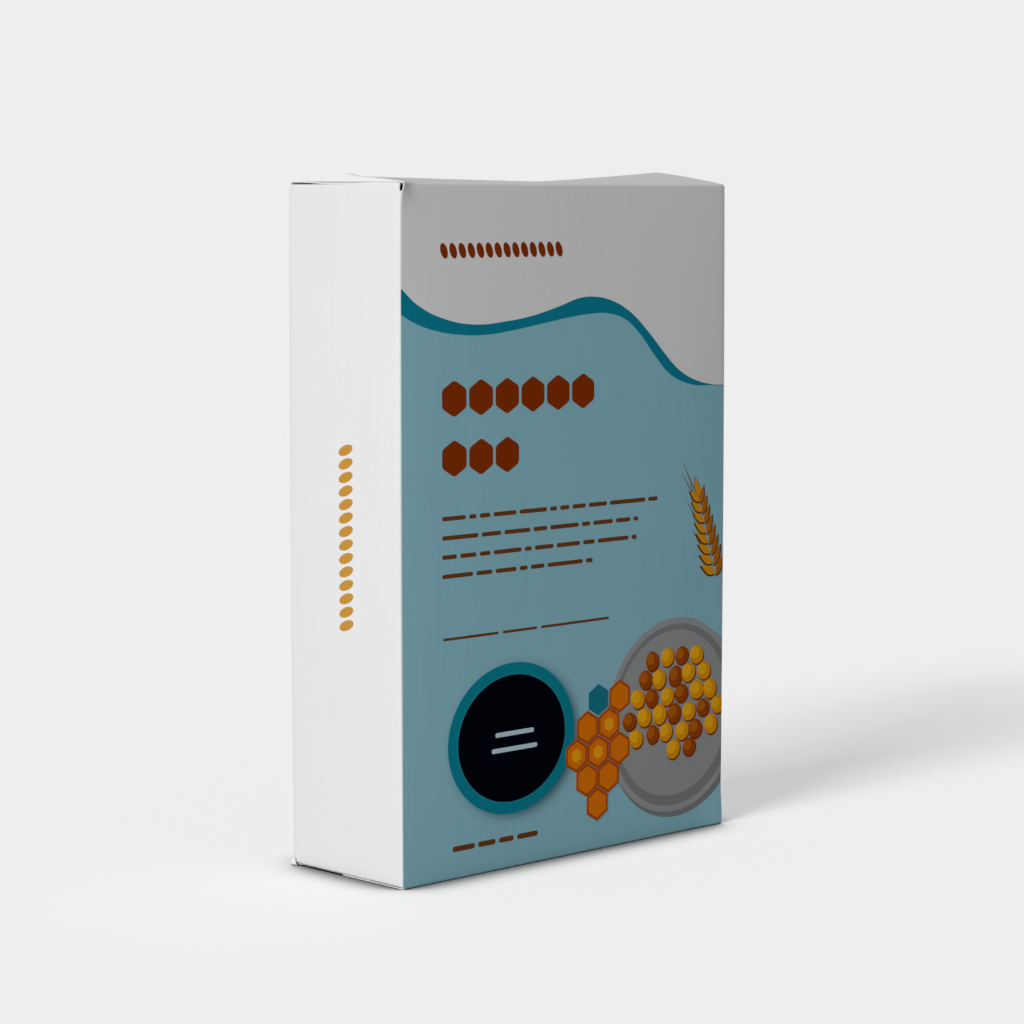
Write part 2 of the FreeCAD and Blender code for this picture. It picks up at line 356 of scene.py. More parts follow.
def board_fibres():
    """Builds the group for the look of paperboard: upright fibres and a faint cloudy formation."""
    group = bpy.data.node_groups.new("board_fibres", "ShaderNodeTree")
    for name, kind in (("Vector", "NodeSocketVector"), ("Color", "NodeSocketColor"),
                       ("Streaks", "NodeSocketFloat"), ("Clouds", "NodeSocketFloat")):
        group.interface.new_socket(name, in_out="INPUT", socket_type=kind)
    for name, kind in (("Color", "NodeSocketColor"), ("Height", "NodeSocketFloat")):
        group.interface.new_socket(name, in_out="OUTPUT", socket_type=kind)
    nodes, links = group.nodes, group.links
    start = nodes.new("NodeGroupInput")
    end = nodes.new("NodeGroupOutput")

    def math_node(operation, first, second):
        node = nodes.new("ShaderNodeMath")
        node.operation = operation
        for socket, source in zip(node.inputs, (first, second)):
            if isinstance(source, (int, float)):
                socket.default_value = source
            else:
                links.new(source, socket)
        return node.outputs[0]

    def noise(stretch, scale, detail):
        mapping = nodes.new("ShaderNodeMapping")
        mapping.inputs["Scale"].default_value = stretch
        links.new(start.outputs["Vector"], mapping.inputs["Vector"])
        node = nodes.new("ShaderNodeTexNoise")
        node.inputs["Scale"].default_value = scale
        node.inputs["Detail"].default_value = detail
        links.new(mapping.outputs[0], node.inputs["Vector"])
        return node.outputs["Fac"]

    fibres = noise((1, 1, 0.045), 620, 4)
    clouds = noise((1, 1, 0.7), 32, 3)
    streak = math_node("MULTIPLY", math_node("SUBTRACT", fibres, 0.5), start.outputs["Streaks"])
    cloud = math_node("MULTIPLY", math_node("SUBTRACT", clouds, 0.5), start.outputs["Clouds"])
    shade = math_node("ADD", math_node("ADD", streak, cloud), 1)
    scale = nodes.new("ShaderNodeVectorMath")
    scale.operation = "SCALE"
    links.new(start.outputs["Color"], scale.inputs[0])
    links.new(shade, scale.inputs["Scale"])
    links.new(scale.outputs[0], end.inputs["Color"])
    links.new(math_node("ADD", math_node("MULTIPLY", fibres, 0.35), clouds), end.inputs["Height"])
    return group


fibres_group = board_fibres()


RELIEF = 0.00012


def printed_board(name, colour, roughness, streaks=0.10, clouds=0.06, specular=0.01):
    """A finish of board or of ink on board: its colour, the fibres that show in it, its sheen."""
    material = bpy.data.materials.new(name)
    material.use_nodes = True
    tree = material.node_tree
    shader = tree.nodes["Principled BSDF"]
    shader.inputs["Roughness"].default_value = roughness
    shader.inputs["Specular IOR Level"].default_value = specular
    place = tree.nodes.new("ShaderNodeTexCoord")
    fibres = tree.nodes.new("ShaderNodeGroup")
    fibres.node_tree = fibres_group
    fibres.inputs["Color"].default_value = (*colour, 1)
    fibres.inputs["Streaks"].default_value = streaks
    fibres.inputs["Clouds"].default_value = clouds
    bump = tree.nodes.new("ShaderNodeBump")
    bump.inputs["Distance"].default_value = RELIEF
    bump.inputs["Strength"].default_value = 0.5
    tree.links.new(place.outputs["Object"], fibres.inputs["Vector"])
    tree.links.new(fibres.outputs["Color"], shader.inputs["Base Color"])
    tree.links.new(fibres.outputs["Height"], bump.inputs["Height"])
    tree.links.new(bump.outputs["Normal"], shader.inputs["Normal"])
    return material


board.data.materials.append(printed_board("white_coated_board", (0.86, 0.86, 0.86), 0.55,
                                          streaks=0.04, clouds=0.03))
board.data.materials.append(printed_board("cut_board_edge", (0.86, 0.85, 0.82), 0.9, streaks=0.1))
apply_modifier(board, "SOLIDIFY", thickness=BOARD - GAP, offset=-1, use_even_offset=True,
               use_rim=True, material_offset_rim=1)
apply_modifier(board, "BEVEL", width=0.0001, segments=2, limit_method="ANGLE",
               angle_limit=EDGE_ANGLE)
pick(board)
bpy.ops.object.shade_smooth_by_angle(angle=SMOOTH_ANGLE)
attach(board, "root")
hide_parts("carton")


# --- Pinched ear ---------------------------------------------------------------------------------
# Where the bottom flaps meet at the rear left corner, a corner of board has been nipped outwards.
# It is the same sheet, creased into a small three-cornered ear that stands on the floor.

EAR_OUT = 0.0016
EAR_RUN = 0.0034
EAR_HEIGHT = 0.0036
EAR_BULGE = 0.0005
EAR_BOARD = BOARD * 0.9

bpy.ops.object.select_all(action="DESELECT")
bpy.ops.mesh.primitive_circle_add(vertices=3, radius=0.001, fill_type="NGON")
ear = new_piece("corner_ear")
for vertex, (out, forward, up) in zip(ear.data.vertices, (
    (0.0003, 0.0017, EAR_HEIGHT), (EAR_OUT, 0.0004, 0.0008), (EAR_OUT / 2, EAR_RUN, 0.0001),
)):
    vertex.co = (-half_width - out, half_depth - forward, up)
bpy.ops.object.mode_set(mode="EDIT")
bpy.ops.mesh.select_all(action="SELECT")
bpy.ops.mesh.subdivide(number_cuts=5)
bpy.ops.object.mode_set(mode="OBJECT")
for vertex in ear.data.vertices:
    up = vertex.co.z / EAR_HEIGHT
    vertex.co.x -= EAR_BULGE * math.sin(math.pi * min(1, max(0, up)))
apply_modifier(ear, "SOLIDIFY", thickness=EAR_BOARD, offset=0)
apply_modifier(ear, "BEVEL", width=0.00012, segments=2, limit_method="ANGLE",
               angle_limit=EDGE_ANGLE)
ear.data.materials.append(board.data.materials[0])
bpy.ops.object.shade_smooth_by_angle(angle=SMOOTH_ANGLE)
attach(ear, "root")


# --- Printed grounds -----------------------------------------------------------------------------
# The wide panels are printed edge to edge: light blue over the lower two thirds, under a wave of
# teal, and the bare white board above. Each ink is a film a few hundredths of a millimetre thick.

FILM = 0.000035
PRINT_CELL = 0.004
CLEAR = 0.15
NO_SLIVER = 1e-6
BLUE = (0.29, 0.563, 0.66)
TEAL = (0.004, 0.235, 0.344)
# Sizes and places of the print are in millimetres, from the wide panel's lower left corner.
INSIDE = 0.3
GROUND_FOOT = 0.25
panel_wide = 2000 * half_width
# The wave's upper edge from left to right, then its lower edge back: along the panel, then up it.
WAVE_TOP = ((-1, 244.4), (9, 237.6), (25, 231.3), (41, 229.0), (57, 229.8), (73, 231.8),
            (89, 235.4), (101, 238.5), (109, 238.9), (119, 237.3), (131, 232.2), (143, 222.9),
            (153, 213.6), (162, 206.2), (172, 201.4), (184, 198.6), (194, 197.9))
WAVE_FOOT = ((194, 197.6), (184, 198.2), (174, 198.6), (164, 200.9), (156, 204.6), (147, 212.6),
             (137, 222.8), (128, 229.0), (118, 231.6), (107, 231.7), (95, 230.6), (80, 228.6),
             (64, 226.4), (46, 224.7), (32, 225.1), (17, 227.4), (7, 230.6), (-1, 234.0))


def on_panel(along, up):
    """The place in the frame, in metres, of a point of the print."""
    return Vector((along / 1000 - half_width, 0, up / 1000))


def smooth_shape(name, points):
    """A flat upright shape inside a closed curve through these points of the print, as a mesh.

    A point with a third entry is a corner, and the curve runs smoothly through the others.
    """
    bpy.ops.object.select_all(action="DESELECT")
    bpy.ops.curve.primitive_bezier_circle_add(radius=1)
    curve = bpy.context.object
    curve.data.dimensions = "2D"
    curve.data.fill_mode = "BOTH"
    curve.data.resolution_u = 10
    curve.data.splines.clear()
    spline = curve.data.splines.new("BEZIER")
    spline.use_cyclic_u = True
    spline.bezier_points.add(len(points) - 1)
    for knot, (along, up, *corner) in zip(spline.bezier_points, points):
        place = on_panel(along, up)
        knot.co = (place.x, place.z, 0)
        knot.handle_left_type = knot.handle_right_type = "VECTOR" if corner else "AUTO"
    bpy.ops.object.convert(target="MESH")
    shape = new_piece(name)
    shape.rotation_euler = (math.radians(90), 0, 0)
    bpy.ops.object.transform_apply(location=True, rotation=True, scale=True)
    return shape


def lay_on(shape, layer, axis=1, side=-1):
    """Lays a flat shape as a film of ink on the board, on the panel that faces that way.

    The shape is cut into cells first, finer where the board turns, so that it can follow the board.
    """
    pick(shape)
    shift = Vector((0, 0, 0))
    shift[axis] = side * CLEAR
    bpy.ops.object.mode_set(mode="EDIT")
    bpy.ops.mesh.select_all(action="SELECT")
    bpy.ops.transform.translate(value=shift)
    across = 0 if axis else 1
    reach = half_width if axis else half_depth
    cells = [PRINT_CELL * place for place in range(-25, 75)]
    creases = [end * (reach - CREASE * share) for end in (-1, 1) for share in (1, 0.75, 0.5)]
    for run, cuts in ((across, cells + creases), (2, cells + [foot, foot * 0.7])):
        normal = Vector((0, 0, 0))
        normal[run] = 1
        places = [vertex.co[run] for vertex in bmesh.from_edit_mesh(shape.data).verts]
        low, high = min(places), max(places)
        for cut in cuts:
            if low + NO_SLIVER < cut < high - NO_SLIVER:
                bpy.ops.mesh.select_all(action="SELECT")
                bpy.ops.mesh.bisect(plane_co=normal * cut, plane_no=normal)
    bpy.ops.mesh.select_all(action="SELECT")
    bpy.ops.mesh.normals_make_consistent()
    faces = bmesh.from_edit_mesh(shape.data).faces
    if sum(face.normal[axis] * face.calc_area() for face in faces) * side < 0:
        bpy.ops.mesh.flip_normals()
    bpy.ops.object.mode_set(mode="OBJECT")
    rise = FILM * (1.2 + layer)
    apply_modifier(shape, "SHRINKWRAP", target=board, wrap_method="PROJECT",
                   use_project_x=axis == 0, use_project_y=axis == 1, use_project_z=False,
                   use_positive_direction=side < 0, use_negative_direction=side > 0,
                   wrap_mode="ABOVE_SURFACE", offset=rise)
    apply_modifier(shape, "SOLIDIFY", thickness=rise + FILM, offset=-1)
    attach(shape, "root")


def print_in(ink, shape, layer, **panel):
    """Gives a flat shape its ink and lays it on the board."""
    shape.data.materials.append(ink)
    lay_on(shape, layer, **panel)


def turned_to_back(shape):
    """A copy of a flat shape for the back panel: turned half round the pack's own height."""
    pick(shape)
    bpy.ops.object.duplicate()
    copy = new_piece("back_" + shape.name)
    bpy.ops.transform.rotate(value=math.radians(180), orient_axis="Z", center_override=(0, 0, 0))
    bpy.ops.object.transform_apply(location=True, rotation=True, scale=True)
    return copy


def held_in(line):
    """The points of a line of the print, kept inside the panel, with a corner at each end."""
    inner = [(min(max(along, INSIDE), panel_wide - INSIDE), up) for along, up in line]
    return [(*inner[0], 1), *inner[1:-1], (*inner[-1], 1)]


blue_ink = printed_board("light_blue_ink", BLUE, 0.5, streaks=0.08, clouds=0.05)
teal_ink = printed_board("teal_ink", TEAL, 0.45, streaks=0.12, clouds=0.05)

wave_foot = held_in(WAVE_FOOT)
# Below the creases' ends the film keeps to the board that turns in under the pack.
crease_end, fold_end = 1000 * CREASE + 0.15, 1000 * foot + 0.1
ground = smooth_shape("blue_ground", [
    (INSIDE, fold_end, 1), (crease_end, fold_end, 1), (crease_end, GROUND_FOOT, 1),
    (panel_wide - crease_end, GROUND_FOOT, 1), (panel_wide - crease_end, fold_end, 1),
    (panel_wide - INSIDE, fold_end, 1), *wave_foot])
wave = smooth_shape("teal_wave", [*held_in(WAVE_TOP), *wave_foot])
for layer, (shape, ink) in enumerate(((ground, blue_ink), (wave, teal_ink))):
    shape.data.materials.append(ink)
    lay_on(turned_to_back(shape), layer, side=1)
    lay_on(shape, layer)


# --- Badge ---------------------------------------------------------------------------------------
# A printed roundel at the lower left of the front: a teal ring round a nearly black disc, with a
# fine light line between them, two short bars where its words would be, and a soft printed shade.

BADGE = (61.2, 55.4)
BADGE_RADII = (36.6, 32.0)
DISC_RADII = (31.0, 26.9)
RING = (0.003, 0.245, 0.33)
DISC = (0.0008, 0.002, 0.006)
LINE_WIDE = 0.5
SHADE_SHIFT = (2.7, -1.7)
SHADE_REACH = 1.15
BAR_CORNERS, BAR_TURN = 16, 11.25


def round_shape(name, half_long, half_high, corners=96, turn=0):
    """A flat upright ellipse or shape with equal corners, around the frame's origin."""
    bpy.ops.object.select_all(action="DESELECT")
    bpy.ops.mesh.primitive_circle_add(vertices=corners, radius=1, fill_type="NGON",
                                      rotation=(math.radians(90), math.radians(turn), 0))
    shape = new_piece(name)
    shape.scale = (half_long / 1000, half_high / 1000, 1)
    bpy.ops.object.transform_apply(location=True, rotation=True, scale=True)
    return shape


def joined(name, shapes):
    """Joins flat shapes that are printed in one ink into one piece."""
    bpy.ops.object.select_all(action="DESELECT")
    for shape in shapes:
        shape.select_set(True)
    bpy.context.view_layer.objects.active = shapes[0]
    bpy.ops.object.transform_apply(location=True, rotation=True, scale=True)
    if len(shapes) > 1:
        bpy.ops.object.join()
    return new_piece(name)


def repeated(name, motif, places):
    """Copies a motif to places of the print, and joins the copies into one shape.

    A place is along the panel and up it, then the copy's scale and its turn, where it has any.
    """
    copies = []
    for along, up, *rest in places:
        size, turn = (*rest, *(1, 0)[len(rest):])
        pick(motif)
        bpy.ops.object.duplicate()
        copy = bpy.context.object
        copy.location = on_panel(along, up)
        copy.rotation_euler = (0, math.radians(turn), 0)
        copy.scale = (size, size, size)
        copies.append(copy)
    return joined(name, copies)


def bars(name, high, places):
    """Round-ended bars at places of the print, each along, up and long: dots drawn out."""
    dot = round_shape("dot", high / 2, high / 2, BAR_CORNERS, BAR_TURN)
    words = []
    for along, up, long in places:
        word = repeated("word", dot, [(along + high / 2, up + high / 2)])
        cap = on_panel(along + high / 2, up).x
        for vertex in word.data.vertices:
            if vertex.co.x > cap:
                vertex.co.x += (long - high) / 1000
        words.append(word)
    bpy.data.objects.remove(dot)
    return joined(name, words)


def shaded_ground(name, along, up, half_long, half_high):
    """The blue of the ground, darkening smoothly about a round shape printed at that point."""
    material = blue_ink.copy()
    material.name = name
    tree = material.node_tree
    shader = tree.nodes["Principled BSDF"]
    fibres = next(node for node in tree.nodes if node.type == "GROUP")
    place = next(node for node in tree.nodes if node.type == "TEX_COORD")
    mapping = tree.nodes.new("ShaderNodeMapping")
    mapping.vector_type = "TEXTURE"
    centre = on_panel(along, up)
    mapping.inputs["Location"].default_value = (centre.x, 0, centre.z)
    mapping.inputs["Scale"].default_value = (half_long / 1000, 10, half_high / 1000)
    ball = tree.nodes.new("ShaderNodeTexGradient")
    ball.gradient_type = "SPHERICAL"
    fade = tree.nodes.new("ShaderNodeValToRGB")
    stops = fade.color_ramp.elements
    stops[0].position, stops[0].color = 0.0, (1, 1, 1, 1)
    stops[1].position, stops[1].color = 0.22, (0.18, 0.22, 0.25, 1)
    stops.new(0.08).color = (0.88, 0.89, 0.90, 1)
    darken = tree.nodes.new("ShaderNodeMix")
    darken.data_type = "RGBA"
    darken.blend_type = "MULTIPLY"
    darken.inputs["Factor"].default_value = 1
    tree.links.new(place.outputs["Object"], mapping.inputs["Vector"])
    tree.links.new(mapping.outputs[0], ball.inputs["Vector"])
    tree.links.new(ball.outputs["Fac"], fade.inputs["Fac"])
    tree.links.new(fibres.outputs["Color"], darken.inputs["A"])
    tree.links.new(fade.outputs["Color"], darken.inputs["B"])
    tree.links.new(darken.outputs["Result"], shader.inputs["Base Color"])
    return material


ground.data.materials[0] = shaded_ground(
    "blue_ground_ink", BADGE[0] + SHADE_SHIFT[0], BADGE[1] + SHADE_SHIFT[1],
    BADGE_RADII[0] * SHADE_REACH, BADGE_RADII[1] * SHADE_REACH)
for name, radii, layer, ink in (
    ("badge_ring", BADGE_RADII, 1, printed_board("ring_ink", RING, 0.42, streaks=0.12)),
    ("badge_line", (DISC_RADII[0] + LINE_WIDE, DISC_RADII[1] + LINE_WIDE), 2,
     printed_board("pale_teal_ink", (0.02, 0.30, 0.38), 0.45)),
    ("badge_disc", DISC_RADII, 3, printed_board("night_ink", DISC, 0.4, streaks=0.3, specular=0.0)),
):
    motif = round_shape(name, *radii)
    shape = repeated(name, motif, [BADGE])
    bpy.data.objects.remove(motif)
    print_in(ink, shape, layer)

badge_bars = bars("badge_bars", 2.0, [(51.2, 56.6, 22.5), (49.2, 50.0, 26.5)])
print_in(printed_board("chalk_ink", (0.56, 0.74, 0.80), 0.5), badge_bars, 4)


# --- Title tiles and reading bars ----------------------------------------------------------------
# Where a pack has its name, a row of kernels and two rows of bold hexagonal tiles are printed in
# rust, and where it has its reading matter, rows of word-long bars: plain shapes of like size.

RUST = (0.267, 0.035, 0.0008)
BROWN = (0.17, 0.052, 0.011)
TILE_LEFT, TILE_PITCH = 28.4, 14.86
# Each row of tiles: its height up the panel, then how many it has.
TILE_ROWS = ((199.2, 6), (174.8, 3))
KERNEL_LEFT, KERNEL_PITCH, KERNELS_UP = 23.3, 5.03, 259.2
KERNELS = 14

rust_ink = printed_board("rust_ink", RUST, 0.5, streaks=0.12)
tile = round_shape("tile", 7.7, 7.6, corners=6)
bpy.ops.object.mode_set(mode="EDIT")
bpy.ops.mesh.select_all(action="SELECT")
bpy.ops.mesh.bevel(offset=0.0012, segments=4, affect="VERTICES")
bpy.ops.object.mode_set(mode="OBJECT")
title = repeated("title_tiles", tile, [(TILE_LEFT + TILE_PITCH * place, up)
                                       for up, count in TILE_ROWS for place in range(count)])
bpy.data.objects.remove(tile)
print_in(rust_ink, title, 1)

kernel = round_shape("kernel", 1.85, 3.3, 20, -20)
kernels = repeated("kernel_row", kernel, [(KERNEL_LEFT + KERNEL_PITCH * place, KERNELS_UP)
                                          for place in range(KERNELS)])
bpy.data.objects.remove(kernel)
print_in(rust_ink, kernels, 0)

# Each row of bars: its height up the panel, then the lengths of its bars, a word space apart.
READING_LEFT = 21.6
WORD_GAP = 1.9
READING_ROWS = (
    (149.5, (13, 4, 6, 13, 16, 4, 5.5, 8, 11, 22, 6)),
    (141.6, (20, 11, 15, 8, 17, 5, 12, 9, 3)),
    (133.7, (8, 9, 6, 16, 4, 11, 14, 7, 19, 3)),
    (125.8, (17, 9, 12, 4.5, 8, 21, 4)),
)
words = []
for up, lengths in READING_ROWS:
    along = READING_LEFT
    for long in lengths:
        words.append((along, up, long))
        along += long + WORD_GAP
brown_ink = printed_board("brown_ink", BROWN, 0.5)
for shape in (
    bars("reading_bars", 1.8, words),
    bars("tag_bars", 1.1, [(22, 100.2, 31), (55.4, 100.2, 20), (77.8, 100.2, 41)]),
    bars("weight_bars", 2.3,
         [(27.6, 11.6, 12.5), (42.0, 11.6, 10), (54.0, 11.6, 8.5), (64.6, 11.6, 12.2)]),
):
    print_in(brown_ink, shape, 1)


# --- Bowl of puffs -------------------------------------------------------------------------------
# The picture at the lower right: a grey bowl of milk seen from above, run off the panel's edge,
# with a heap of golden puffs in it. Flat inks: greys for the bowl, gold, amber and brown on them.

BOWL = (161.0, 53.5)
BOWL_RADIUS = 44.0
BOWL_BROAD = 12.6
PUFF = 4.65
PUFF_PITCH, PUFF_RISE = 9.6, 8.3
FIRST_PUFF = (-34, -24)
HEAP_FOOT = -13
edge_of_print = half_width - INSIDE / 1000


def cut_at_edge(shape):
    """Cuts off what of a flat shape would run past the panel's right edge."""
    pick(shape)
    bpy.ops.object.mode_set(mode="EDIT")
    bpy.ops.mesh.select_all(action="SELECT")
    bpy.ops.mesh.bisect(plane_co=(edge_of_print, 0, 0), plane_no=(1, 0, 0), clear_outer=True)
    bpy.ops.object.mode_set(mode="OBJECT")
    return shape


plate = round_shape("plate", BOWL_RADIUS, BOWL_RADIUS)
for layer, (name, shift, size, colour) in enumerate((
    ("bowl_body", (1.6, -1.8), 1, (0.22, 0.23, 0.24)),
    ("bowl_rim", (0, 0), 0.985, (0.36, 0.37, 0.38)),
    ("bowl_wall", (0, 0), 0.92, (0.24, 0.25, 0.26)),
    ("bowl_milk", (-0.8, 0.9), 0.84, (0.35, 0.36, 0.36)),
)):
    shape = cut_at_edge(repeated(name, plate, [(BOWL[0] + shift[0], BOWL[1] + shift[1], size)]))
    print_in(printed_board(name + "_ink", colour, 0.5), shape, 1 + layer)
bpy.data.objects.remove(plate)

# The heap: rows of puffs, each a little out of its place, kept where the bowl holds them.
puffs = []
for row in range(7):
    for column in range(8):
        along = (BOWL[0] + FIRST_PUFF[0] + PUFF_PITCH * (column + row % 2 / 2)
                 + 0.5 * math.sin(7.3 * row + 3.1 * column))
        up = (BOWL[1] + FIRST_PUFF[1] + PUFF_RISE * row
              + 0.5 * math.cos(5.1 * row + 4.7 * column))
        inside = math.hypot(along - BOWL[0], up - BOWL[1]) < BOWL_RADIUS - BOWL_BROAD
        heaped = up > BOWL[1] + HEAP_FOOT + 4 * math.sin(along / 7)
        if inside and heaped:
            puffs.append((along, up, 1 + 0.05 * math.sin(9.7 * row + 5.3 * column), 40 * column))
brown_puffs = [puff for place, puff in enumerate(puffs) if place % 5 in (1, 3)]
gold_puffs = [puff for puff in puffs if puff not in brown_puffs]
puff = round_shape("puff", PUFF, PUFF * 0.93, 18)
for name, layer, shift, size, colour, places in (
    ("puff_shades", 5, (0.5, -0.6), 1.0, (0.24, 0.035, 0.001), puffs),
    ("gold_puffs", 6, (0, 0), 0.95, (0.86, 0.34, 0.003), gold_puffs),
    ("brown_puffs", 6, (0, 0), 0.95, (0.36, 0.065, 0.003), brown_puffs),
    ("gold_lights", 7, (-1.1, 0.9), 0.62, (1.0, 0.50, 0.01), gold_puffs),
    ("brown_lights", 7, (-1.1, 0.9), 0.58, (0.52, 0.13, 0.004), brown_puffs),
):
    shape = cut_at_edge(repeated(name, puff, [(along + shift[0], up + shift[1], size * own, turn)
                                              for along, up, own, turn in places]))
    print_in(printed_board(name + "_ink", colour, 0.5), shape, layer)
bpy.data.objects.remove(puff)


# --- Honeycomb and sprig -------------------------------------------------------------------------
# A patch of amber comb between the badge and the bowl, one of its cells teal, and a sprig of ripe
# grain that leans in from the right edge above. All plain shapes, printed flat.

COMB = (112.5, 43.0)
CELL = 7.4
COMB_PITCH, COMB_RISE = CELL * 1.78, CELL * 1.54
comb_places = [(COMB[0] + column * COMB_PITCH, COMB[1] + row * COMB_RISE) for column, row in (
    (0, 0), (1, 0), (-0.5, 1), (0.5, 1), (-0.5, -1), (0.5, -1), (-1, 0), (1, 2), (0, -2))]
teal_place = (COMB[0], COMB[1] + 2 * COMB_RISE)
cell = round_shape("cell", CELL, CELL, 6)
for name, size, layer, colour, places in (
    ("comb_walls", 1.0, 5, (0.50, 0.08, 0.001), comb_places),
    ("comb_honey", 0.82, 6, (0.85, 0.20, 0.002), comb_places),
    ("comb_lights", 0.42, 7, (0.98, 0.42, 0.01), comb_places[::3]),
    ("comb_teal", 0.92, 5, (0.01, 0.21, 0.28), [teal_place]),
):
    shape = repeated(name, cell, [(*place, size) for place in places])
    print_in(printed_board(name + "_ink", colour, 0.5), shape, layer)
bpy.data.objects.remove(cell)


def leaf(name, long, wide):
    """A pointed leaf shape of the print that stands up from the frame's origin."""
    rib, belly, neck = panel_wide / 2, wide * 0.5, wide * 0.36
    return smooth_shape(name, [
        (rib, 0, 1), (rib + belly, long * 0.35), (rib + neck, long * 0.7),
        (rib, long, 1), (rib - neck, long * 0.7), (rib - belly, long * 0.35)])


# The sprig's stem runs up and to the left from the panel's edge. At each step a grain leans out to
# the left of it and one to the right, each with a dark edge of its own, and an awn stands behind.
SPRIG = [(step, 187.6 - 1.55 * step, 114.0 + 4.7 * step, 1 - 0.03 * step) for step in range(8)]
left_grains = [(along, up, size, 2 * step - 66) for step, along, up, size in SPRIG]
right_grains = [(along + 0.5, up - 1, size, 28 - 2 * step) for step, along, up, size in SPRIG]
tip_grain = (SPRIG[-1][1], SPRIG[-1][2] + 2, 0.9, -20)
awns = [(along - 1.0, up + 2.0, size, 5 * (step % 3) - 38) for step, along, up, size in SPRIG]
edges = [(along + 0.2, up - 0.7, size * 1.16, turn)
         for along, up, size, turn in (*left_grains, *right_grains, tip_grain)]
grain, awn = leaf("grain", 10.2, 3.6), leaf("awn", 26, 0.75)
for layer, (name, colour, motif, places) in enumerate((
    ("sprig_awns", (0.20, 0.13, 0.03), awn, awns),
    ("sprig_edges", (0.13, 0.035, 0.003), grain, edges),
    ("sprig_shades", (0.50, 0.16, 0.006), grain, right_grains),
    ("sprig_grains", (0.80, 0.33, 0.012), grain, [*left_grains, tip_grain]),
)):
    shape = cut_at_edge(repeated(name, motif, places))
    print_in(printed_board(name + "_ink", colour, 0.5), shape, 1 + layer)
for motif in (grain, awn):
    bpy.data.objects.remove(motif)


# --- Side kernels --------------------------------------------------------------------------------
# The narrow panels carry one upright row of amber kernels each, where a pack has its name again.

SIDE_AMBER = (0.60, 0.30, 0.05)
SIDE_FOOT, SIDE_PITCH = 105.6, 5.56
SIDE_ALONG = -1.8

side_ink = printed_board("side_amber_ink", SIDE_AMBER, 0.5)
kernel = round_shape("kernel", 4.6, 2.05, 20, 20)
for name, side in (("left_kernels", -1), ("right_kernels", 1)):
    row = repeated(name, kernel, [(panel_wide / 2 + SIDE_ALONG, SIDE_FOOT + SIDE_PITCH * place)
                                  for place in range(KERNELS)])
    bpy.ops.transform.rotate(value=math.radians(90 * side), orient_axis="Z",
                             center_override=(0, 0, 0))
    bpy.ops.object.transform_apply(location=True, rotation=True, scale=True)
    print_in(side_ink, row, 0, axis=0, side=side)
bpy.data.objects.remove(kernel)


# --- Floor, light and camera ---------------------------------------------------------------------
bpy.ops.object.select_all(action="DESELECT")
bpy.ops.mesh.primitive_plane_add(size=60, location=(0, 0, 0))
floor = new_piece("floor")

# The grey that the floor and the backdrop show, the floor's own grey, and the light of the room.
PALE = 0.855
FLOOR_WHITE = 0.30
SKY = 0.187
# Three soft suns side by side light the floor alone, so that the pack's shadow fans out. This is
# the light that they lay on it together.
CAST = 0.877
CAST_ELEVATION = 31
CAST_SIDES = (1.5, 9, 16.5)
CAST_SPREAD = 9
# One soft sun and one lamp light all but the floor.
KEY = 0.506
KEY_ELEVATION = 40
KEY_SIDE = 12
KEY_SPREAD = 12
FILL = 2.79
FILL_PLACE, FILL_AIM = Vector((-0.952, -0.346, 0.27)), Vector((0, 0, 0.14))
FILL_SIZE = 0.2
# How far the painted shade under the pack reaches. Each level: the share of open room above a place
# on the floor, then how much of its brightness the floor keeps there under the painted shade.
PAINTED_SHADE_REACH = 0.028
PAINTED_SHADE_LEVELS = ((0.50, 0.07), (0.54, 0.33), (0.62, 0.54), (0.70, 0.76), (0.81, 0.95))
CAMERA_PLACE = (-0.9115, -0.9407, 0.2802)
CAMERA_DOWN, CAMERA_TURN = 5.874, -44.06
LENS = 107.11
SEEN_RAYS = ("Is Camera Ray", "Is Glossy Ray", "Is Transmission Ray")


def seen_rays(tree):
    """An output that is 1 for the rays that see a thing and 0 for those that gather light."""
    path = tree.nodes.new("ShaderNodeLightPath")
    seen = path.outputs[SEEN_RAYS[0]]
    for ray in SEEN_RAYS[1:]:
        both = tree.nodes.new("ShaderNodeMath")
        both.operation = "MAXIMUM"
        tree.links.new(seen, both.inputs[0])
        tree.links.new(path.outputs[ray], both.inputs[1])
        seen = both.outputs[0]
    return seen


world = bpy.data.worlds.new("studio")
bpy.context.scene.world = world
world.use_nodes = True
tree = world.node_tree
sky = tree.nodes["Background"]
sky.inputs["Color"].default_value = (1, 1, 1, 1)
sky.inputs["Strength"].default_value = SKY
backdrop = tree.nodes.new("ShaderNodeBackground")
backdrop.inputs["Color"].default_value = (PALE, PALE, PALE, 1)
mix = tree.nodes.new("ShaderNodeMixShader")
tree.links.new(seen_rays(tree), mix.inputs["Fac"])
tree.links.new(sky.outputs[0], mix.inputs[1])
tree.links.new(backdrop.outputs[0], mix.inputs[2])
tree.links.new(mix.outputs[0], tree.nodes["World Output"].inputs["Surface"])

pale = bpy.data.materials.new("pale_floor")
pale.use_nodes = True
tree = pale.node_tree
tree.nodes.remove(tree.nodes["Principled BSDF"])
diffuse = tree.nodes.new("ShaderNodeBsdfDiffuse")
glow = tree.nodes.new("ShaderNodeEmission")
seen = seen_rays(tree)
lift = tree.nodes.new("ShaderNodeMath")
lift.operation = "MULTIPLY"
lift.inputs[1].default_value = PALE - FLOOR_WHITE * (CAST + SKY)
tree.links.new(seen, lift.inputs[0])
tree.links.new(lift.outputs[0], glow.inputs["Strength"])
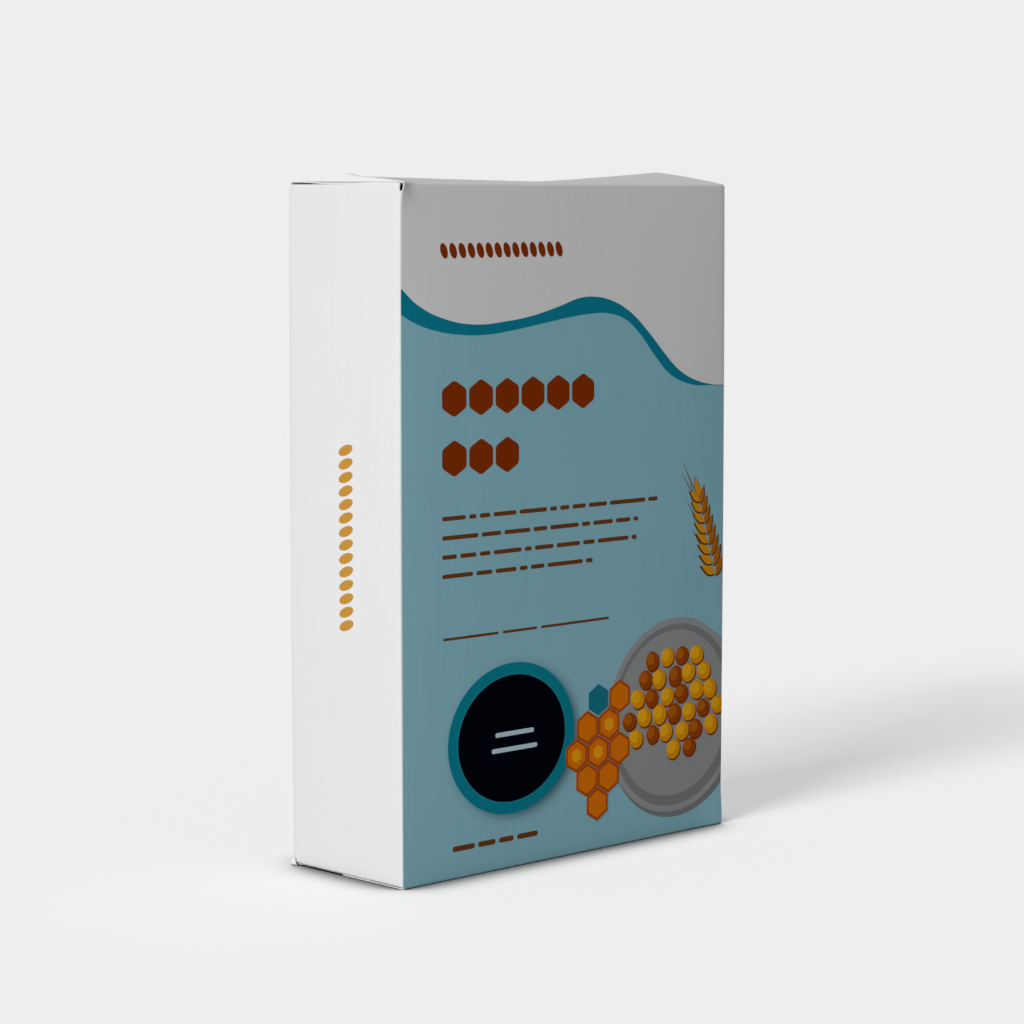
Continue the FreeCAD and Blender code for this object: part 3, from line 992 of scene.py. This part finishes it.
# Close under the pack, where little of the room's light comes in, the floor's glow and colour are
# darkened: a painted contact shade.
nook = tree.nodes.new("ShaderNodeAmbientOcclusion")
nook.inputs["Distance"].default_value = PAINTED_SHADE_REACH
nook.samples = 12
nook_painted_shade = tree.nodes.new("ShaderNodeValToRGB")
stops = nook_painted_shade.color_ramp.elements
stops[0].position, stops[0].color = 0.30, (0.005, 0.005, 0.005, 1)
stops[1].position, stops[1].color = 0.95, (1, 1, 1, 1)
for position, level in PAINTED_SHADE_LEVELS:
    stops.new(position).color = (level, level, level, 1)
tree.links.new(nook.outputs["AO"], nook_painted_shade.inputs["Fac"])
# The painted shade darkens the glow that the camera sees.
tree.links.new(nook_painted_shade.outputs["Color"], glow.inputs["Color"])
shade = tree.nodes.new("ShaderNodeVectorMath")
shade.operation = "SCALE"
shade.inputs["Scale"].default_value = FLOOR_WHITE
# For the rays that gather light, the painted shade darkens the floor's colour only in the deepest
# part of the nook.
gathered_painted_shade = tree.nodes.new("ShaderNodeMapRange")
for name, setting in (("From Min", 0.46), ("From Max", 0.60), ("To Min", 0.02), ("To Max", 1)):
    gathered_painted_shade.inputs[name].default_value = setting
tree.links.new(nook.outputs["AO"], gathered_painted_shade.inputs["Value"])
bounce = tree.nodes.new("ShaderNodeMix")
bounce.data_type = "RGBA"
tree.links.new(gathered_painted_shade.outputs["Result"], bounce.inputs["A"])
tree.links.new(seen, bounce.inputs["Factor"])
tree.links.new(nook_painted_shade.outputs["Color"], bounce.inputs["B"])
tree.links.new(bounce.outputs["Result"], shade.inputs[0])
tree.links.new(shade.outputs[0], diffuse.inputs["Color"])
add = tree.nodes.new("ShaderNodeAddShader")
tree.links.new(diffuse.outputs[0], add.inputs[0])
tree.links.new(glow.outputs[0], add.inputs[1])
tree.links.new(add.outputs[0], tree.nodes["Material Output"].inputs["Surface"])
floor.data.materials.append(pale)


def direction(elevation, side):
    """The way towards a light that high, and that far round from the left to the front."""
    flat = math.cos(math.radians(elevation))
    return Vector((-flat * math.cos(math.radians(side)), -flat * math.sin(math.radians(side)),
                   math.sin(math.radians(elevation))))


def light(name, kind, place, aim, energy, lit_only=None, not_lit=None):
    """A lamp that points at its aim, and lights either one piece alone or all but one."""
    bpy.ops.object.light_add(type=kind, location=place)
    lamp = bpy.context.object
    lamp.name = lamp.data.name = name
    lamp.data.energy = energy
    lamp.rotation_mode = "QUATERNION"
    lamp.rotation_quaternion = (place - aim).to_track_quat("Z", "Y")
    lamp.visible_camera = False
    linked = bpy.data.collections.new(name + "_lights")
    linked.objects.link(lit_only or not_lit)
    linked.collection_objects[0].light_linking.link_state = "INCLUDE" if lit_only else "EXCLUDE"
    lamp.light_linking.receiver_collection = linked
    return lamp.data


origin = Vector((0, 0, 0))
cast_energy = CAST / math.sin(math.radians(CAST_ELEVATION)) * math.pi / len(CAST_SIDES)
for place, side in enumerate(CAST_SIDES):
    cast = light(f"cast_{place}", "SUN", direction(CAST_ELEVATION, side), origin, cast_energy,
                 lit_only=floor)
    cast.angle = math.radians(CAST_SPREAD)
key = light("key", "SUN", direction(KEY_ELEVATION, KEY_SIDE), origin, KEY * math.pi, not_lit=floor)
key.angle = math.radians(KEY_SPREAD)
fill = light("fill", "AREA", FILL_PLACE, FILL_AIM, FILL, not_lit=floor)
fill.size = FILL_SIZE

bpy.ops.object.camera_add(location=CAMERA_PLACE)
camera = bpy.context.object
camera.data.lens = LENS
camera.data.sensor_width = 36
camera.rotation_euler = (math.radians(90 - CAMERA_DOWN), 0, math.radians(CAMERA_TURN))
bpy.context.scene.camera = camera
bpy.context.scene.view_settings.view_transform = "Standard"
